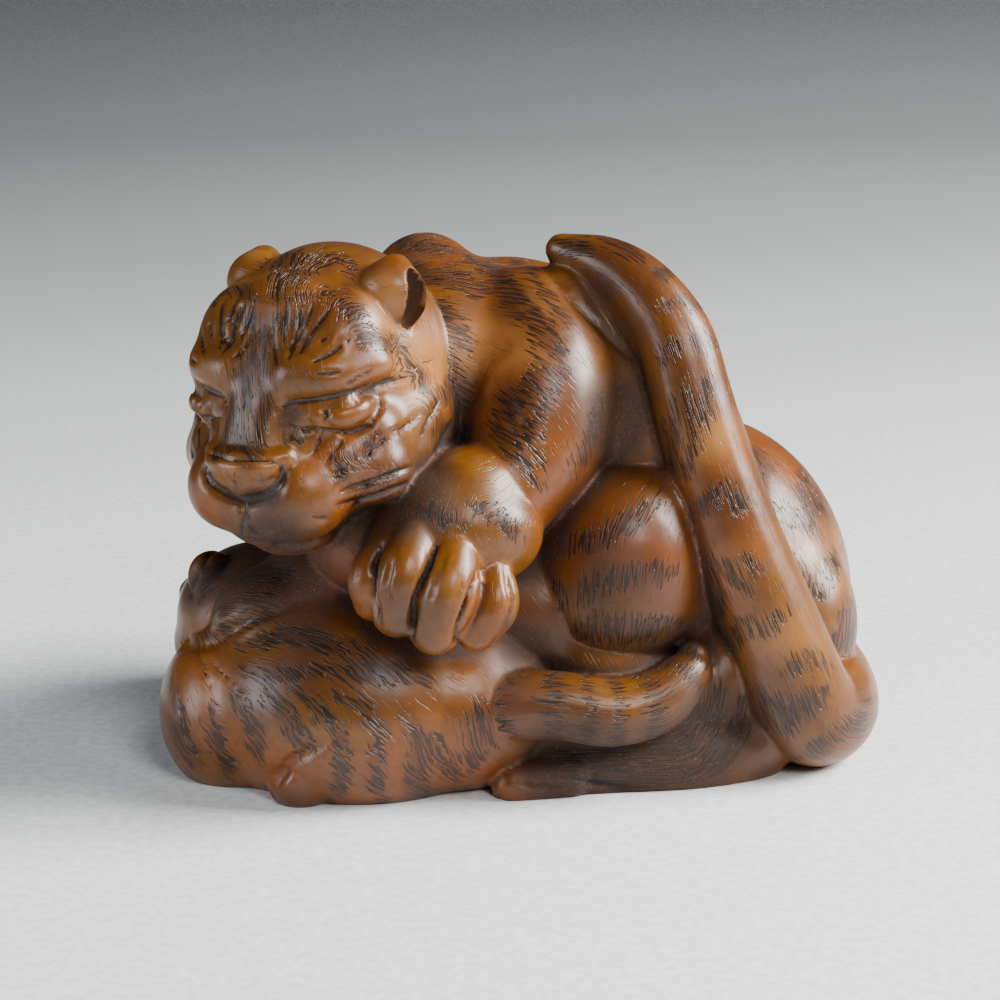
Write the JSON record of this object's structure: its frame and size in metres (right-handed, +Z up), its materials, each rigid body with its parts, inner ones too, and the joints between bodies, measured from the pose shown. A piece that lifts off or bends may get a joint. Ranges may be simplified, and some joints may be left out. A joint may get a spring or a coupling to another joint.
{
  "type": "netsuke",
  "caption": "Wooden toggle carved in the round as a tigress curled over her cub, with a bent cord channel in its flat underside.",
  "frame": {"origin": "middle of the carving's outline, on the plane of its flat underside", "axes": "+Z up; +X towards the tigress's haunch and the bend of her tail; -Y towards the viewer, who sees her face, her forepaw and the cub's back"},
  "size_m": [0.0388, 0.0268, 0.0282],
  "materials": {
    "boxwood": "polished, amber brown, with stripes of dark stained strokes"
  },
  "bodies": {
    "root": {"netsuke": "boxwood"}
  },
  "joints": []
}
